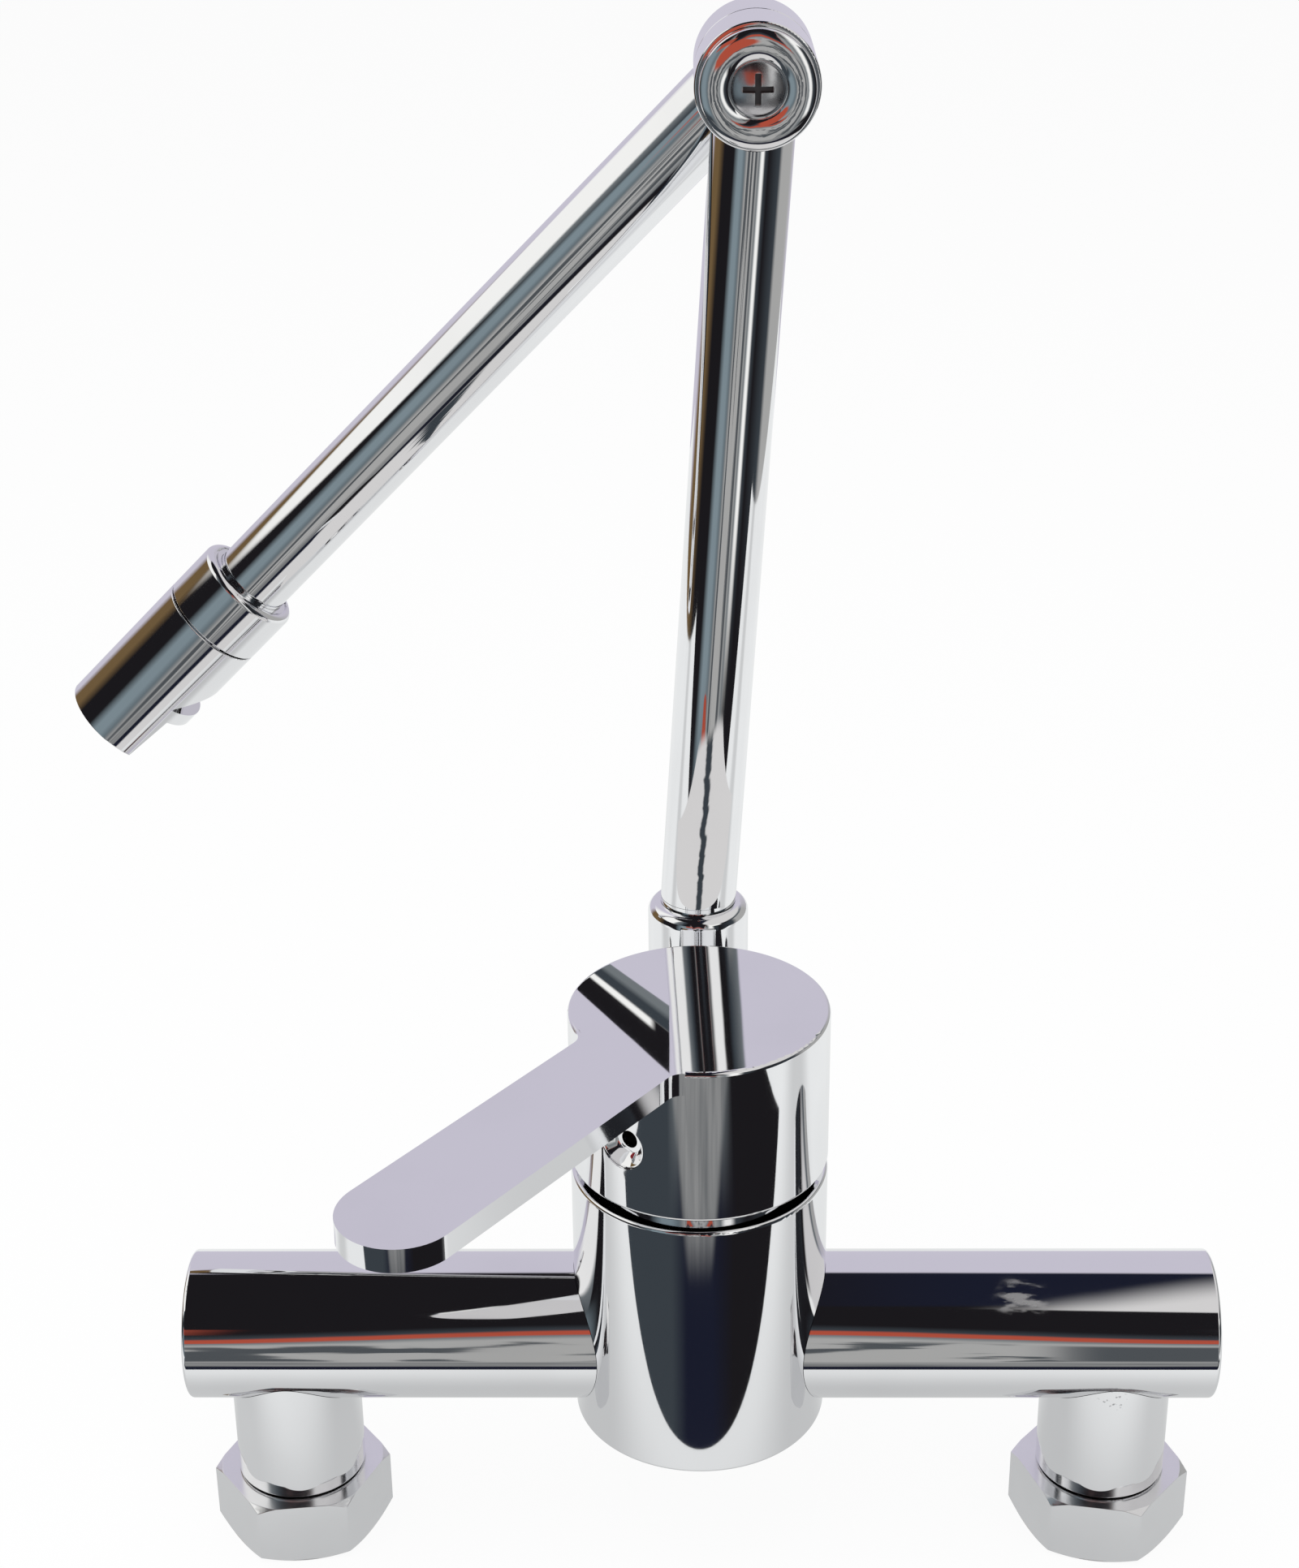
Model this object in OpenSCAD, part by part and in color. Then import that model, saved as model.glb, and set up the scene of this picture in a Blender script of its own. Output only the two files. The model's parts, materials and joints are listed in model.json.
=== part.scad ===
// Folding caravan tap: a two-inlet lever mixer with a jointed spout.
// Millimetres, +Z up, +X along the bar, +Y away from the user.
// The origin is midway between the inlets, in the plane of the union nuts' lower faces.

/* [Inlets] */
// Distance between the two inlets
inlet_pitch = 150; // [130:1:170]
// Width of a union nut across its flats
nut_af = 28.4; // [28:0.2:34]
// Height of a union nut
nut_h = 12.5; // [12:0.5:16]
// Thickness of the nut's upper lip
nut_lip = 2.2; // [2:0.1:3]
// Turn of the left nut's corners from the bar
nut_turn_left = 7; // [-30:1:30]
// Turn of the right nut's corners from the bar
nut_turn_right = -10; // [-30:1:30]
// Diameter of the union thread, G 1/2
thread_d = 20.95; // [20.5:0.05:22]
// Diameter of the inlet tails
tail_d = 23.6; // [22:0.2:25]
// Outer diameter of the nipple that holds the nut
nipple_d = 16.4; // [15:0.1:17]
// Diameter of the inlet waterway
inlet_bore = 11; // [9:0.5:12]

/* [Bar] */
// Diameter of the bar
bar_d = 26.8; // [25:0.2:30]
// Length of the bar over both ends
bar_len = 186; // [178:1:200]
// Height of the bar's axis
bar_z = 43.5; // [42:0.5:46]
// Diameter of the bar's bore
bar_bore = 17; // [14:0.5:19]

/* [Body] */
// Wall of the body round the cartridge
body_wall = 5.3; // [5:0.1:7]
// Height of the body's lower face
body_bottom = 27.7; // [24:0.1:29]
// Height of the body's upper rim
body_top = 78.7; // [77.5:0.1:79]
// Rounding of the body's and the bar's edges
edge = 0.7; // [0.3:0.1:1.2]

/* [Cartridge] */
// Diameter of the mixing cartridge
cartridge_d = 35; // [33:0.5:36]
// Height of the floor that the cartridge stands on
cartridge_floor = 56; // [55.5:0.1:56.5]
// Thickness of the cartridge's base
base_t = 5; // [4.5:0.1:5.2]
// Thickness of the fixed ceramic disc
fixed_disc_t = 4; // [3:0.1:4.2]
// Thickness of the moving ceramic disc
moving_disc_t = 3.5; // [2.5:0.1:3.7]
// Diameter of the moving ceramic disc
moving_disc_d = 20; // [17:0.5:21]
// Diameter of a water port
port_d = 5.6; // [4:0.2:6]

/* [Handle] */
// Height of the handle's flat top
cap_top = 110; // [108:0.5:112]
// Open gap between the handle and the body
cap_gap = 2.1; // [1.5:0.1:3]
// Wall of the hollow cap
cap_wall = 2; // [1.6:0.1:2.2]
// Reach of the lever from the body's axis
lever_reach = 87.6; // [70:0.1:100]
// Width of the lever
lever_w = 19.7; // [16:0.1:22]
// Thickness of the lever
lever_t = 4.2; // [3.5:0.1:5]
// Fillet between the lever and the cap
lever_fillet = 3; // [1:0.5:5]
// Turn of the lever from straight ahead towards the left
lever_turn = 36; // [-45:0.5:45]
// Angle that the lever lifts through
lift_max = 12; // [8:1:14]
// Height of the axis that the lever lifts about
pivot_z = 84; // [83.5:0.1:84.5]
// Height of the set screw in the cap
set_screw_z = 93.4; // [92.5:0.1:97]

/* [Spout] */
// Distance of the spout's axis behind the body's axis
spout_back = 40; // [40:0.5:50]
// Diameter of the spout socket
socket_d = 18.7; // [17.6:0.1:19]
// Height of the spout socket's top
socket_top = 110.4; // [108:0.2:114]
// Height of the outlet branch's axis
outlet_z = 48; // [47:0.1:48.5]
// Outer diameter of the riser and the arm
tube_d = 14; // [13.4:0.1:14.2]
// Wall of the riser and the arm
tube_wall = 1; // [0.8:0.1:1.2]
// Length of the riser from the socket's top to the knuckle's axis
riser_len = 150; // [130:1:180]
// Lean of the riser out of the vertical
riser_lean = 3.75; // [0:0.25:5]

/* [Knuckle] */
// Diameter of the knuckle's front half
knuckle_front_d = 20.6; // [19.6:0.1:21.5]
// Diameter of the knuckle's rear half
knuckle_rear_d = 20.6; // [19.6:0.1:21.5]
// Diameter of the hollow pivot
pivot_d = 11; // [10:0.1:11.5]
// Diameter of the cover disc
disc_d = 19; // [18:0.1:19.4]
// Thickness of the cover disc
disc_t = 2.6; // [2.4:0.1:3.2]
// Diameter of the screw head
screw_head_d = 8.8; // [8:0.1:9.2]

/* [Arm] */
// Angle between the riser and the arm
fold_angle = 41.2; // [20:0.2:120]
// Length of the arm from the knuckle's axis to the nozzle
arm_len = 129.5; // [100:0.5:160]
// Thickness of the nozzle round the arm
nozzle_wall = 2.75; // [2.4:0.05:3.5]
// Length of the nozzle's fixed collar
collar_len = 10.5; // [8:0.5:14]
// Length of the turning part of the nozzle
nozzle_len = 29.6; // [28:0.2:36]
// Length of the outlet notch along the nozzle
outlet_len = 6.1; // [5:0.1:8]
// Thickness of the lip beyond the outlet
lip_len = 2.8; // [2:0.1:4]
// Rounding of the nozzle's tip
tip_round = 1.8; // [1:0.2:3]

/* [Hidden] */
$fn = 96;
// Running clearance on a radius
run = 0.05;
// Gap left for braze or adhesive
seam = 0.05;
// Free gap between pieces that turn against each other
free = 0.3;
// Overrun of a cut past the face that it opens
cut = 1;
CHROME = "silver";
BRASS = "goldenrod";
RUBBER = "dimgray";
PLASTIC = "whitesmoke";
CERAMIC = "ivory";
STEEL = "gray";
DARK = "black";
RED = "firebrick";

// Inlet pieces, measured up from the nuts' lower faces
nut_lip_z = nut_h - nut_lip;
flange_t = 1.5;
washer_t = 1.4;
flange_z = nut_lip_z - free - flange_t;
washer_z = flange_z - washer_t;
thread_depth = washer_z - seam;
thread_relief = 0.3;
nut_chamfer = 1.4;
nut_chamfer_rise = 0.8;
nut_foot_in = 0.25;
nut_foot_slope = 0.6;
nut_r = nut_af / 2 / cos(30);
nut_foot_r = nut_af / 2 - nut_foot_in;
tail_z = nut_h + free;
nipple_grip = 9;
tail_spigot_wall = 2.5;
tail_spigot_d = inlet_bore + 2 * tail_spigot_wall;
tail_spigot_in = 3;

// Bar and body
bar_r = bar_d / 2;
body_d = cartridge_d + 2 * body_wall;
body_r = body_d / 2;
arm_spigot_wall = 1.5;
arm_spigot_d = bar_bore + 2 * arm_spigot_wall;
arm_spigot_in = 3.4;
arm_end_wall = 5;
port_circle = 8.5;
passage_d = 9;
chamber_r = cartridge_d / 2 + run;
arm_socket_x = body_r - arm_spigot_in;
function port_at(side) = [side * port_circle * cos(30), -port_circle * sin(30)];
outlet_port = [0, port_circle];

// Cartridge, stacked up from its floor
film = 0.1;
cartridge_r = cartridge_d / 2;
fixed_disc_z = cartridge_floor + base_t;
moving_disc_z = fixed_disc_z + fixed_disc_t + film;
carrier_z = moving_disc_z + moving_disc_t;
ball_r = 3;
ball_z = carrier_z + free + ball_r;
ball_below = pivot_z - ball_z;
ball_cover = 2.2;
carrier_top = ball_z + ball_cover;
guide_flange_z = carrier_top + free;
guide_flange_t = 2.4;
guide_flange_r = 13;
housing_roof_z = guide_flange_z + guide_flange_t + film;
housing_roof_t = 2.6;
neck_below_pin = 1;
housing_neck_top = pivot_z - neck_below_pin;
housing_wall = 2.9;
housing_cavity_r = cartridge_r - housing_wall;
housing_step_wall = 1;
housing_step_r = housing_cavity_r + housing_step_wall;
ring_below_roof = 4;
ring_seat = housing_roof_z - ring_below_roof;
ring_wall = 1.65;
ring_r = cartridge_r + ring_wall;
guide_r = 9.8;
guide_above_pin = 2.6;
guide_top = pivot_z + guide_above_pin;
neck_wall = 2.6;
pin_r = 1.5;
stem_w = 6;
stem_d = 8;
stem_slack = 0.2;
disc_back = 2;
seal_r = 0.75;
seal_seat_r = port_d / 2 + 2 * seal_r + film + seam;
mix_pocket_edge = 1.2;

// Handle
cap_r = body_r;
cap_bottom = body_top + cap_gap;
cap_roof_t = 4;
cap_edge = 0.8;
boss_r = 6.8;
boss_above_pin = 6;
boss_bottom = pivot_z + boss_above_pin;
stem_short = 1;
stem_top = cap_top - cap_roof_t - stem_short;
shroud_sink = 1.2;
shroud_flange_t = 1;
shroud_t = 1.2;
shroud_above_pin = 6;
shroud_top = pivot_z + shroud_above_pin;
relief_gap = body_top + free;
set_screw_d = 5;
set_screw_len = 6.5;
plug_d = 8.8;
plug_sink = 0.45;
plug_t = 2.8;
plug_rim = 0.25;
plug_floor_t = 0.7;
plug_floor_r = 2.5;
plug_key_r = 1.6;
mark_r = 0.6;
mark_low = 0.6;

// Spout
socket_r = socket_d / 2;
socket_flat = 0.15;
branch_d = 15;
branch_spigot_d = 12;
branch_spigot_in = 3;
branch_bore = 8;
branch_socket_y = body_r - branch_spigot_in;
socket_foot = 2;
socket_bottom = outlet_z - branch_d / 2 - socket_foot;
tube_r = tube_d / 2;
socket_edge = socket_r - tube_r - socket_flat;
tube_in_r = tube_r - tube_wall;
stub_r = tube_in_r - seam;
stub_wall = 1.95;
stub_bore_r = stub_r - stub_wall;
stub_len = 6;
spigot_r = 6.5;
spigot_len = 40;
spigot_foot = socket_top - spigot_len;
spigot_flange_t = 1;
spigot_top = socket_top + film + spigot_flange_t;
lock_groove_up = 5;
lock_groove_z = spigot_foot + lock_groove_up;
lock_groove_w = 3;
lock_groove_d = 1.2;
lock_screw_d = 2.6;
seal_drop = [8, 16];
ring_groove_w = 1.7;
ring_groove_d = 1.5;

// Knuckle, measured along Y from the riser's axis
knuckle_cheek = 0.2;
front_half = tube_r + knuckle_cheek;
rear_start = front_half + free;
rear_len = tube_d + free;
arm_side = rear_start + rear_len / 2;
rear_end = rear_start + rear_len;
disc_back_y = front_half + free;
disc_front_y = disc_back_y + disc_t;
knuckle_front_r = knuckle_front_d / 2;
knuckle_rear_r = knuckle_rear_d / 2;
knuckle_edge = 1.2;
disc_edge = 1;
disc_swell_r = 5.5;
disc_r = disc_d / 2;
pivot_r = pivot_d / 2;
pivot_wall = 2.3;
pivot_bore_r = pivot_r - pivot_wall;
pivot_end = disc_back_y - seam;
pivot_bore_front = 3;
pivot_bore_back = 2;
pivot_seal_y = 5;
water_groove_w = 5;
water_groove_d = 0.9;
cross_hole_r = 2.1;
screw_r = 2;
screw_recess = 1.6;
screw_recess_gap = 0.4;
screw_head_t = 1.5;
screw_head_dome = 10;
screw_tip_y = 3.4;
slot_w = 0.9;
slot_len = 5;
slot_depth = 1;

// Nozzle, measured along the arm from the knuckle's axis
nozzle_r = tube_r + nozzle_wall;
nozzle_d = 2 * nozzle_r;
nozzle_start = arm_len;
nozzle_split = arm_len + collar_len;
sleeve_wall = 1.55;
nozzle_spigot_r = nozzle_r - sleeve_wall;
nozzle_spigot_len = 8;
nozzle_groove_d = ring_groove_d / 2;
nozzle_seal_back = 1.8;
nozzle_seal_at = nozzle_spigot_len - nozzle_seal_back;
tube_seat = 5;
collar_bevel = 1.2;
collar_ring_t = 0.85;
collar_ring_r = tube_r + seam + collar_ring_t;
collar_groove_w = 0.45;
collar_groove_d = 0.5;
tip_dome_r = 30;

// Outlet, measured along the turning part of the nozzle and out from its axis
outlet_start = 9.4;
outlet_end = outlet_start + outlet_len;
outlet_depth = 4.95;
outlet_floor = nozzle_r - outlet_depth;
outlet_slope = outlet_len / outlet_depth;
lip_end = outlet_end + lip_len;
flat_near = nozzle_r - 3.75;
flat_far = nozzle_r - 4.85;
insert_chamber_r = 5;
insert_chamber_len = 2.5;
jet_r = 0.55;
jet_rows = [-1.4, 0, 1.4];
jet_step = 1.5;
jet_side = 2;
jet_depth = 7;

// The corner outside a rounded edge of radius e
module corner(e) {
    difference() {
        square(e + cut);
        circle(e);
    }
}

// A round rod along +Z with its lower and upper edges rounded
module rod(r, h, low = 0, top = 0) {
    rotate_extrude()
        difference() {
            square([r, h]);
            if (top > 0)
                translate([r - top, h - top])
                    corner(top);
            if (low > 0)
                translate([r - low, low])
                    mirror([0, 1])
                        corner(low);
        }
}

// A ring of round section that lies flat at z = 0
module seal(mid_r, section_r) {
    rotate_extrude()
        translate([mid_r, 0])
            circle(section_r, $fn = 48);
}

// The cut that makes a square groove in a shaft of radius r, centred on z
module groove(r, z, w, d) {
    translate([0, 0, z - w / 2])
        difference() {
            cylinder(r = r + cut, h = w);
            translate([0, 0, -cut])
                cylinder(r = r - d, h = w + 2 * cut);
        }
}

// A plain pipe along +Z
module pipe(r_out, r_in, h) {
    difference() {
        cylinder(r = r_out, h = h);
        translate([0, 0, -cut])
            cylinder(r = r_in, h = h + 2 * cut);
    }
}

// Turns +X to the direction that the lever points in
module along_lever() {
    rotate([0, 0, -90 - lever_turn])
        children();
}

// The riser's frame: +Z along the riser, from the centre of the socket's top
module at_riser() {
    translate([0, spout_back, socket_top])
        rotate([0, riser_lean, 0])
            children();
}

// The knuckle's frame: +Y along its axis, with the riser below
module at_knuckle() {
    at_riser()
        translate([0, 0, riser_len])
            children();
}

// The arm's frame: +Z out along the arm, +Y along the knuckle's axis, -X towards the outlet side
module at_arm() {
    at_knuckle()
        rotate([0, 180 + fold_angle, 0])
            children();
}

// Lays a shape that is built along +Z along +Y instead
module along_y() {
    rotate([-90, 0, 0])
        children();
}

// Inlets

module union_nut(turn) {
    outer = nut_r + nut_chamfer;
    color(CHROME)
        difference() {
            intersection() {
                rotate([0, 0, turn])
                    cylinder(r = nut_r, h = nut_h, $fn = 6);
                rotate_extrude()
                    polygon([
                        [0, 0], [nut_foot_r, 0], [outer, (outer - nut_foot_r) * nut_foot_slope],
                        [outer, nut_h - 2 * nut_chamfer_rise], [nut_r - nut_chamfer, nut_h], [0, nut_h]
                    ]);
            }
            translate([0, 0, -cut])
                cylinder(d = thread_d, h = thread_depth + cut);
            translate([0, 0, thread_depth])
                cylinder(r = thread_d / 2 + thread_relief, h = nut_lip_z - thread_depth);
            translate([0, 0, nut_lip_z - cut])
                cylinder(r = nipple_d / 2 + free, h = nut_lip + 2 * cut);
        }
}

module nipple() {
    color(BRASS)
        difference() {
            union() {
                translate([0, 0, flange_z])
                    cylinder(r = thread_d / 2 - seam, h = flange_t);
                translate([0, 0, flange_z])
                    cylinder(d = nipple_d, h = tail_z + nipple_grip - flange_z);
            }
            translate([0, 0, flange_z - cut])
                cylinder(d = inlet_bore, h = nut_h + nipple_grip + 2 * cut);
        }
}

module washer() {
    color(RUBBER)
        translate([0, 0, washer_z])
            pipe(thread_d / 2 - seam, inlet_bore / 2, washer_t);
}

module tail() {
    color(CHROME)
        difference() {
            union() {
                difference() {
                    translate([0, 0, tail_z])
                        rod(tail_d / 2, bar_z - tail_z, edge / 2);
                    translate([-tail_d, 0, bar_z])
                        rotate([0, 90, 0])
                            cylinder(r = bar_r + seam, h = 2 * tail_d);
                }
                translate([0, 0, tail_z + nipple_grip])
                    cylinder(d = tail_spigot_d, h = bar_z - bar_r + tail_spigot_in - tail_z - nipple_grip);
            }
            translate([0, 0, tail_z - cut])
                cylinder(r = nipple_d / 2 + seam, h = nipple_grip + seam + cut);
            translate([0, 0, tail_z])
                cylinder(d = inlet_bore, h = bar_z);
        }
}

module at_inlet(side) {
    translate([side * inlet_pitch / 2, 0, 0])
        children();
}

// Bar and body

module bar_arm(side) {
    arm_x = bar_len / 2;
    color(CHROME)
        difference() {
            union() {
                difference() {
                    translate([0, 0, bar_z])
                        rotate([0, side * 90, 0])
                            rod(bar_r, arm_x, 0, edge);
                    translate([0, 0, body_bottom])
                        cylinder(r = body_r + seam, h = body_top - body_bottom);
                }
                translate([side * (arm_socket_x + seam), 0, bar_z])
                    rotate([0, side * 90, 0])
                        cylinder(d = arm_spigot_d, h = arm_spigot_in + cut);
            }
            translate([0, 0, bar_z])
                rotate([0, side * 90, 0])
                    cylinder(d = bar_bore, h = arm_x - arm_end_wall);
            translate([side * inlet_pitch / 2, 0, bar_z - bar_r - cut])
                cylinder(r = tail_spigot_d / 2 + seam, h = bar_r + cut);
        }
}

module mixer_body() {
    color(CHROME)
        difference() {
            translate([0, 0, body_bottom])
                rod(body_r, body_top - body_bottom, edge, edge);
            translate([0, 0, cartridge_floor])
                cylinder(r = chamber_r, h = body_top);
            translate([0, 0, ring_seat])
                cylinder(r = ring_r + run, h = body_top);
            for (side = [-1, 1]) {
                port = port_at(side);
                translate([side * arm_socket_x, 0, bar_z])
                    rotate([0, side * 90, 0])
                        cylinder(r = arm_spigot_d / 2 + seam, h = body_r);
                translate([port[0], 0, bar_z])
                    rotate([0, side * 90, 0])
                        cylinder(d = passage_d, h = body_r);
                translate([port[0], port[1], bar_z])
                    cylinder(d = port_d, h = cartridge_floor);
            }
            translate([outlet_port[0], outlet_port[1], outlet_z])
                cylinder(d = port_d, h = cartridge_floor);
            translate([outlet_port[0], outlet_port[1], outlet_z])
                along_y()
                    cylinder(d = branch_bore, h = body_r);
            translate([0, branch_socket_y, outlet_z])
                along_y()
                    cylinder(r = branch_spigot_d / 2 + seam, h = body_r);
        }
}

// Cartridge

module ports() {
    for (at = [port_at(-1), port_at(1), outlet_port])
        translate([at[0], at[1], 0])
            children();
}

module cartridge_base() {
    color(PLASTIC)
        difference() {
            translate([0, 0, cartridge_floor])
                cylinder(r = cartridge_r - run, h = base_t);
            ports()
                translate([0, 0, cartridge_floor - cut])
                    cylinder(d = port_d, h = base_t + 2 * cut);
            ports()
                translate([0, 0, cartridge_floor - cut])
                    cylinder(r = seal_seat_r, h = 2 * seal_r + cut);
        }
}

module port_seals() {
    color(RUBBER)
        ports()
            translate([0, 0, cartridge_floor + seal_r])
                seal(port_d / 2 + seal_r, seal_r - seam);
}

module fixed_disc() {
    color(CERAMIC)
        difference() {
            translate([0, 0, fixed_disc_z])
                cylinder(r = housing_cavity_r - free, h = fixed_disc_t);
            ports()
                translate([0, 0, fixed_disc_z - cut])
                    cylinder(d = port_d, h = fixed_disc_t + 2 * cut);
        }
}

module cartridge_housing() {
    color(PLASTIC)
        difference() {
            union() {
                translate([0, 0, fixed_disc_z])
                    cylinder(r = cartridge_r - run, h = ring_seat - fixed_disc_z);
                translate([0, 0, ring_seat])
                    cylinder(r = housing_step_r, h = housing_roof_z + housing_roof_t - ring_seat);
                translate([0, 0, housing_roof_z])
                    cylinder(r = guide_r + run + neck_wall, h = housing_neck_top - housing_roof_z);
            }
            translate([0, 0, fixed_disc_z - cut])
                cylinder(r = housing_cavity_r, h = housing_roof_z - fixed_disc_z + cut);
            translate([0, 0, housing_roof_z - cut])
                cylinder(r = guide_r + run, h = pivot_z);
        }
}

module lock_ring() {
    spanner_slot = 4;
    slot_depth_z = 2;
    ring_top = body_top - shroud_sink;
    color(BRASS)
        translate([0, 0, ring_seat])
            difference() {
                pipe(ring_r, housing_step_r + run, ring_top - ring_seat);
                for (turn = [0, 90])
                    rotate([0, 0, turn])
                        translate([-body_r, -spanner_slot / 2, ring_top - ring_seat - slot_depth_z])
                            cube([body_d, spanner_slot, slot_depth_z + cut]);
            }
}

module shroud() {
    foot_z = body_top - shroud_sink;
    color(CHROME)
        difference() {
            union() {
                translate([0, 0, foot_z])
                    cylinder(r = ring_r, h = shroud_flange_t);
                intersection() {
                    translate([0, 0, pivot_z])
                        sphere(ring_r);
                    translate([0, 0, foot_z])
                        cylinder(r = body_r, h = shroud_top - foot_z);
                }
            }
            translate([0, 0, pivot_z])
                sphere(ring_r - shroud_t);
        }
}

module moving_disc() {
    mix_r = port_d / 2 + mix_pocket_edge;
    color(CERAMIC)
        along_lever()
            translate([-disc_back, 0, moving_disc_z])
                difference() {
                    cylinder(d = moving_disc_d, h = moving_disc_t);
                    translate([0, 0, -cut])
                        cylinder(r = mix_r, h = moving_disc_t / 2 + cut);
                }
}

module disc_carrier() {
    color(PLASTIC)
        along_lever()
            difference() {
                translate([-disc_back, 0, carrier_z])
                    cylinder(d = moving_disc_d, h = carrier_top - carrier_z);
                translate([0, 0, ball_z - ball_r - free])
                    cylinder(r = ball_r + free, h = ball_r * 4);
            }
}

module stem_guide() {
    slot_half = stem_d / 2 + ball_below * sin(lift_max) + stem_slack;
    color(PLASTIC)
        along_lever()
            difference() {
                union() {
                    translate([0, 0, guide_flange_z])
                        cylinder(r = guide_flange_r, h = guide_flange_t);
                    translate([0, 0, guide_flange_z])
                        cylinder(r = guide_r, h = guide_top - guide_flange_z);
                }
                translate([-slot_half, -stem_w / 2 - stem_slack, guide_flange_z - cut])
                    cube([2 * slot_half, stem_w + 2 * stem_slack, guide_top]);
                translate([0, 0, pivot_z])
                    along_y()
                        cylinder(r = pin_r + seam, h = body_d, center = true);
            }
}

module pivot_pin() {
    color(STEEL)
        along_lever()
            translate([0, 0, pivot_z])
                along_y()
                    cylinder(r = pin_r, h = 2 * (guide_r - free), center = true);
}

module stem() {
    neck_z = carrier_top + free + stem_d / 2 * sin(lift_max);
    neck_r = ball_r * 0.7;
    color(BRASS)
        along_lever()
            difference() {
                union() {
                    translate([-stem_d / 2, -stem_w / 2, neck_z])
                        cube([stem_d, stem_w, stem_top - neck_z]);
                    translate([0, 0, ball_z])
                        cylinder(r = neck_r, h = neck_z - ball_z + cut);
                    translate([0, 0, ball_z])
                        sphere(ball_r);
                }
                translate([0, 0, pivot_z])
                    along_y()
                        cylinder(r = pin_r + run, h = body_d, center = true);
            }
}

// Handle

// The lever seen from above, pointing along +X
module lever_outline() {
    half = lever_w / 2;
    end_x = lever_reach - half;
    fillet_y = half + lever_fillet;
    fillet_x = sqrt(pow(cap_r + lever_fillet, 2) - pow(fillet_y, 2));
    translate([0, -half])
        square([end_x, lever_w]);
    translate([end_x, 0])
        circle(half);
    for (side = [-1, 1])
        difference() {
            polygon([[0, 0], [fillet_x, 0], [fillet_x, side * fillet_y]]);
            translate([fillet_x, side * fillet_y])
                circle(lever_fillet);
        }
}

// The space behind the pivot that the cap's skirt leaves free, so that it clears the body when lifted
module skirt_relief() {
    translate([0, 0, pivot_z])
        rotate([0, lift_max, 0])
            translate([-2 * body_d, -body_d, relief_gap - pivot_z - body_d])
                cube([2 * body_d, 2 * body_d, body_d]);
}

module handle() {
    roof_z = cap_top - cap_roof_t;
    color(CHROME)
        along_lever()
            difference() {
                union() {
                    difference() {
                        translate([0, 0, cap_bottom])
                            rod(cap_r, cap_top - cap_bottom, edge, cap_edge);
                        translate([0, 0, cap_bottom - cut])
                            cylinder(r = cap_r - cap_wall, h = roof_z - cap_bottom + cut);
                    }
                    translate([0, 0, boss_bottom])
                        cylinder(r = boss_r, h = cap_top - boss_bottom - cap_edge);
                    difference() {
                        translate([0, 0, cap_top - lever_t])
                            linear_extrude(lever_t)
                                lever_outline();
                        translate([0, 0, cap_bottom])
                            cylinder(r = cap_r - cap_wall, h = roof_z - cap_bottom);
                    }
                }
                skirt_relief();
                translate([-stem_d / 2 - seam, -stem_w / 2 - seam, boss_bottom - cut])
                    cube([stem_d + 2 * seam, stem_w + 2 * seam, stem_top + seam - boss_bottom + cut]);
                translate([0, 0, set_screw_z])
                    rotate([0, 90, 0])
                        cylinder(r = set_screw_d / 2 + seam, h = boss_r + cut);
                translate([boss_r, 0, set_screw_z])
                    rotate([0, 90, 0])
                        cylinder(r = plug_d / 2 + seam, h = cap_r);
            }
}

module set_screw() {
    hex_key = 2.5;
    key_depth = 3;
    color(STEEL)
        along_lever()
            translate([stem_d / 2 + seam, 0, set_screw_z])
                rotate([0, 90, 0])
                    difference() {
                        cylinder(d = set_screw_d, h = set_screw_len);
                        translate([0, 0, set_screw_len - key_depth])
                            cylinder(d = hex_key / cos(30), h = key_depth + cut, $fn = 6);
                    }
}

// The frame of the plug: +Z outwards along the set screw, from the plug's inner face
module at_plug() {
    along_lever()
        translate([cap_r - plug_sink - plug_t, 0, set_screw_z])
            rotate([0, 90, 0])
                children();
}

// The place of the temperature mark on the plug's rim
module index_seat() {
    translate([0, -plug_d / 2 + plug_rim + mark_r, mark_low])
        children();
}

module index_plug() {
    mouth_r = plug_d / 2 - plug_rim;
    color(CHROME)
        at_plug()
            difference() {
                rotate_extrude()
                    polygon([
                        [plug_key_r, 0], [plug_d / 2, 0], [plug_d / 2, plug_t], [mouth_r, plug_t],
                        [plug_floor_r, plug_floor_t], [plug_key_r, plug_floor_t]
                    ]);
                index_seat()
                    cylinder(r = mark_r + seam, h = plug_t);
            }
}

module index_mark() {
    color(RED)
        at_plug()
            index_seat()
                cylinder(r = mark_r, h = plug_t - mark_low - plug_rim);
}

// Spout

module spout_socket() {
    color(CHROME)
        difference() {
            union() {
                translate([0, spout_back, socket_bottom])
                    rod(socket_r, socket_top - socket_bottom, edge, socket_edge);
                difference() {
                    translate([0, 0, outlet_z])
                        along_y()
                            cylinder(d = branch_d, h = spout_back);
                    translate([0, 0, body_bottom])
                        cylinder(r = body_r + seam, h = body_top - body_bottom);
                }
                translate([0, branch_socket_y + seam, outlet_z])
                    along_y()
                        cylinder(d = branch_spigot_d, h = spout_back - branch_socket_y);
            }
            translate([0, body_r - 2 * branch_spigot_in, outlet_z])
                along_y()
                    cylinder(d = branch_bore, h = spout_back - body_r + 2 * branch_spigot_in);
            translate([0, spout_back, outlet_z - branch_bore / 2])
                cylinder(d = branch_bore, h = socket_top - outlet_z);
            translate([0, spout_back, spigot_foot - free])
                cylinder(r = spigot_r + run, h = spigot_len + cut);
            translate([0, spout_back, lock_groove_z])
                along_y()
                    cylinder(r = lock_screw_d / 2 + seam, h = socket_d);
        }
}

module spout_lock_screw() {
    color(STEEL)
        translate([0, spout_back + spigot_r - lock_groove_d + free, lock_groove_z])
            along_y()
                cylinder(d = lock_screw_d, h = socket_r - spigot_r + lock_groove_d - 2 * free);
}

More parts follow.
